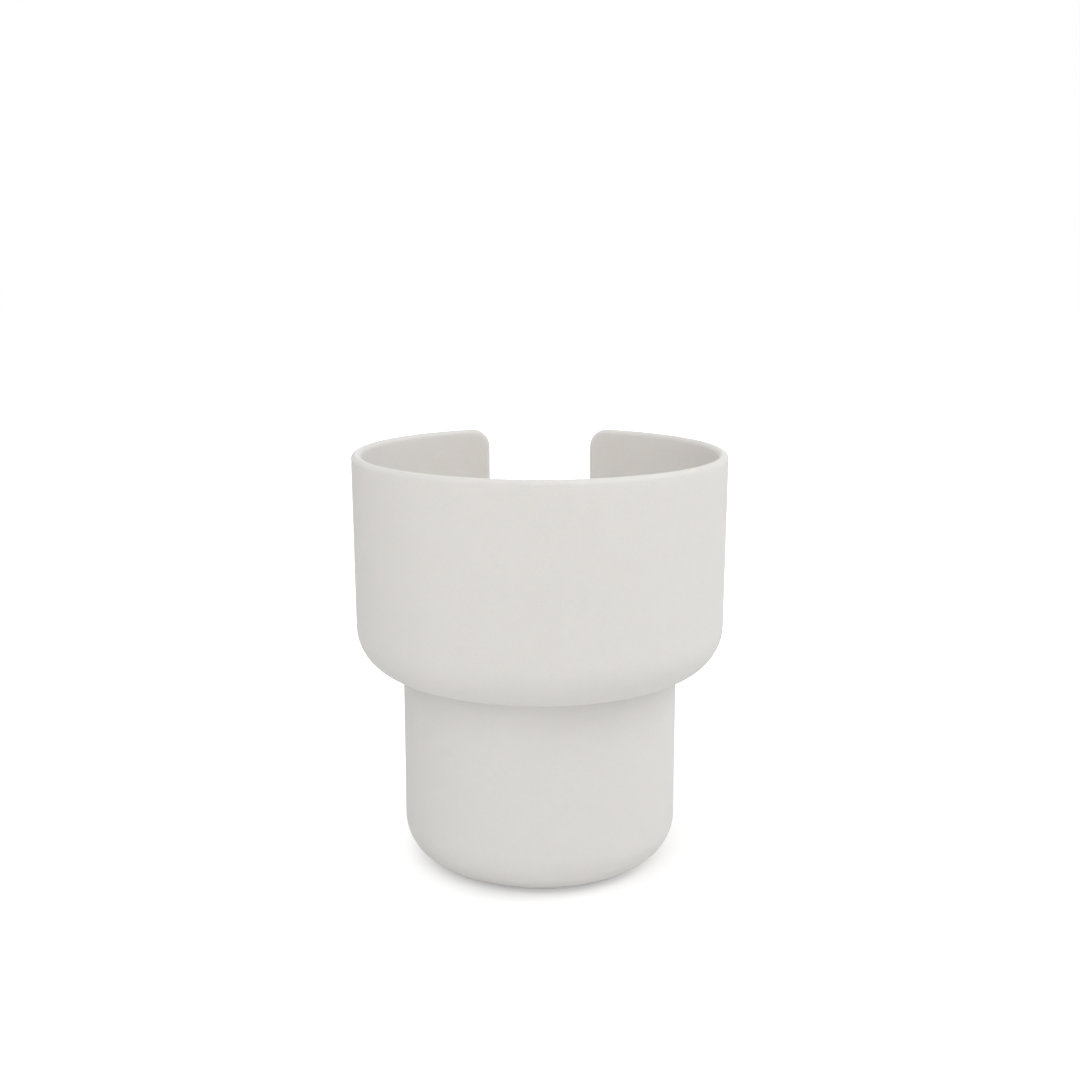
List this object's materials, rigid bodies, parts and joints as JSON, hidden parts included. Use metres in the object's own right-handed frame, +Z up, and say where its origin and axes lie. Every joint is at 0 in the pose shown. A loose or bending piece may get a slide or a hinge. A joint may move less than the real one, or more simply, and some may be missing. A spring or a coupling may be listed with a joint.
{
  "type": "cup holder expander",
  "caption": "One-piece soft moulded adapter: a wide upper cup with a handle slot, open at the rim, on a narrower round spigot that drops into a vehicle cup holder.",
  "frame": {"origin": "centre of the flat base, on the axis of the spigot and the upper cup", "axes": "+Z up along the common axis, out of the upper cup's mouth; +Y towards the handle slot; +X to the right, seen with the slot at the back"},
  "size_m": [0.0968, 0.0964, 0.1085],
  "materials": {
    "silicone": "matte soft-touch silicone, pale warm grey"
  },
  "bodies": {
    "root": {"expander_body": "silicone"}
  },
  "joints": []
}
